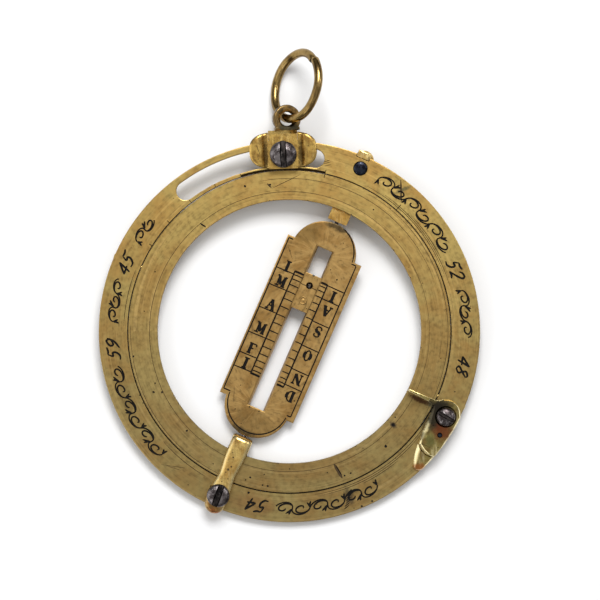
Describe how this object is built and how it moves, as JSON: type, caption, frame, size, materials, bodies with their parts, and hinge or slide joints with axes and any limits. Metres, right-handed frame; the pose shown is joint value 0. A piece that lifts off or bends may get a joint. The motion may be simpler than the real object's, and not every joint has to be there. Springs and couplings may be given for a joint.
{
  "type": "universal equinoctial ring dial",
  "caption": "Folding pocket ring sundial: meridian ring on a sliding suspension, folding hour ring, and a pivoted bridge with a sliding pinhole cursor.",
  "frame": {"origin": "middle of the folded dial's footprint, at its lowest point", "axes": "+Z out of the dial's face, +Y towards the suspension ring, +X to the right of a dial that lies face up"},
  "size_m": [0.07, 0.087, 0.0115],
  "materials": {
    "ring_brass": "olive-gold tarnished brass with fine turning scratches and dark pits",
    "bridge_brass": "warm tarnished brass, engraved and filled black",
    "bracket_brass": "pale polished brass with worn edges",
    "slider_brass": "brass with brown patina in the corners",
    "wire_brass": "smooth drawn brass wire, rubbed bright",
    "screw_steel": "dark old steel, scratched, with bright highlights",
    "blued_steel": "dark blued steel"
  },
  "bodies": {
    "dial_frame": {"meridian_ring": "ring_brass", "hour_pivot_left": "bracket_brass", "hour_pivot_right": "bracket_brass", "front_bracket": "bracket_brass", "front_bracket_screw": "screw_steel", "back_bracket": "bracket_brass", "back_bracket_screw": "blued_steel", "bridge_pivot_upper": "screw_steel", "bridge_pivot_lower": "screw_steel", "stop_plate": "bracket_brass", "stop_screw": "screw_steel", "stop_steady_pin": "blued_steel"},
    "hour_ring": {"hour_ring": "ring_brass"},
    "bridge": {"bridge_plate": "bridge_brass"},
    "cursor": {"cursor_block": "bridge_brass", "cursor_back_plate": "bridge_brass", "cursor_rivet": "bracket_brass"},
    "slider": {"slider_ear_plate": "slider_brass", "slider_stirrup": "slider_brass", "slider_guide_block": "slider_brass", "slider_back_plate": "slider_brass", "slider_clamp_screw": "screw_steel"},
    "eye": {"swivel_eye": "slider_brass"},
    "suspension_ring": {"suspension_ring": "wire_brass"}
  },
  "joints": [
    {"name": "hour_ring_fold", "type": "hinge", "parent": "dial_frame", "child": "hour_ring", "pos_m": [0, -0.0085, 0.00504], "axis": [0.9171, -0.3987, 0], "range_deg": [0, 90]},
    {"name": "bridge_turn", "type": "hinge", "parent": "dial_frame", "child": "bridge", "pos_m": [0, -0.0085, 0.00504], "axis": [0.3987, 0.9171, 0], "continuous": true},
    {"name": "cursor_slide", "type": "slide", "parent": "bridge", "child": "cursor", "axis": [0.3987, 0.9171, 0], "range_m": [-0.0194, 0.005]},
    {"name": "slider_travel", "type": "hinge", "parent": "dial_frame", "child": "slider", "pos_m": [0, -0.0085, 0.00504], "axis": [0, 0, 1], "range_deg": [-8.6, 32.6]},
    {"name": "eye_swivel", "type": "hinge", "parent": "slider", "child": "eye", "pos_m": [-0.00054, 0.03055, 0.00534], "axis": [-0.0349, 0.9994, 0], "continuous": true},
    {"name": "suspension_ring_swing", "type": "hinge", "parent": "eye", "child": "suspension_ring", "pos_m": [-0.00054, 0.03055, 0.00534], "axis": [0.2587, 0.009, 0.9659], "range_deg": [-40, 75]}
  ]
}
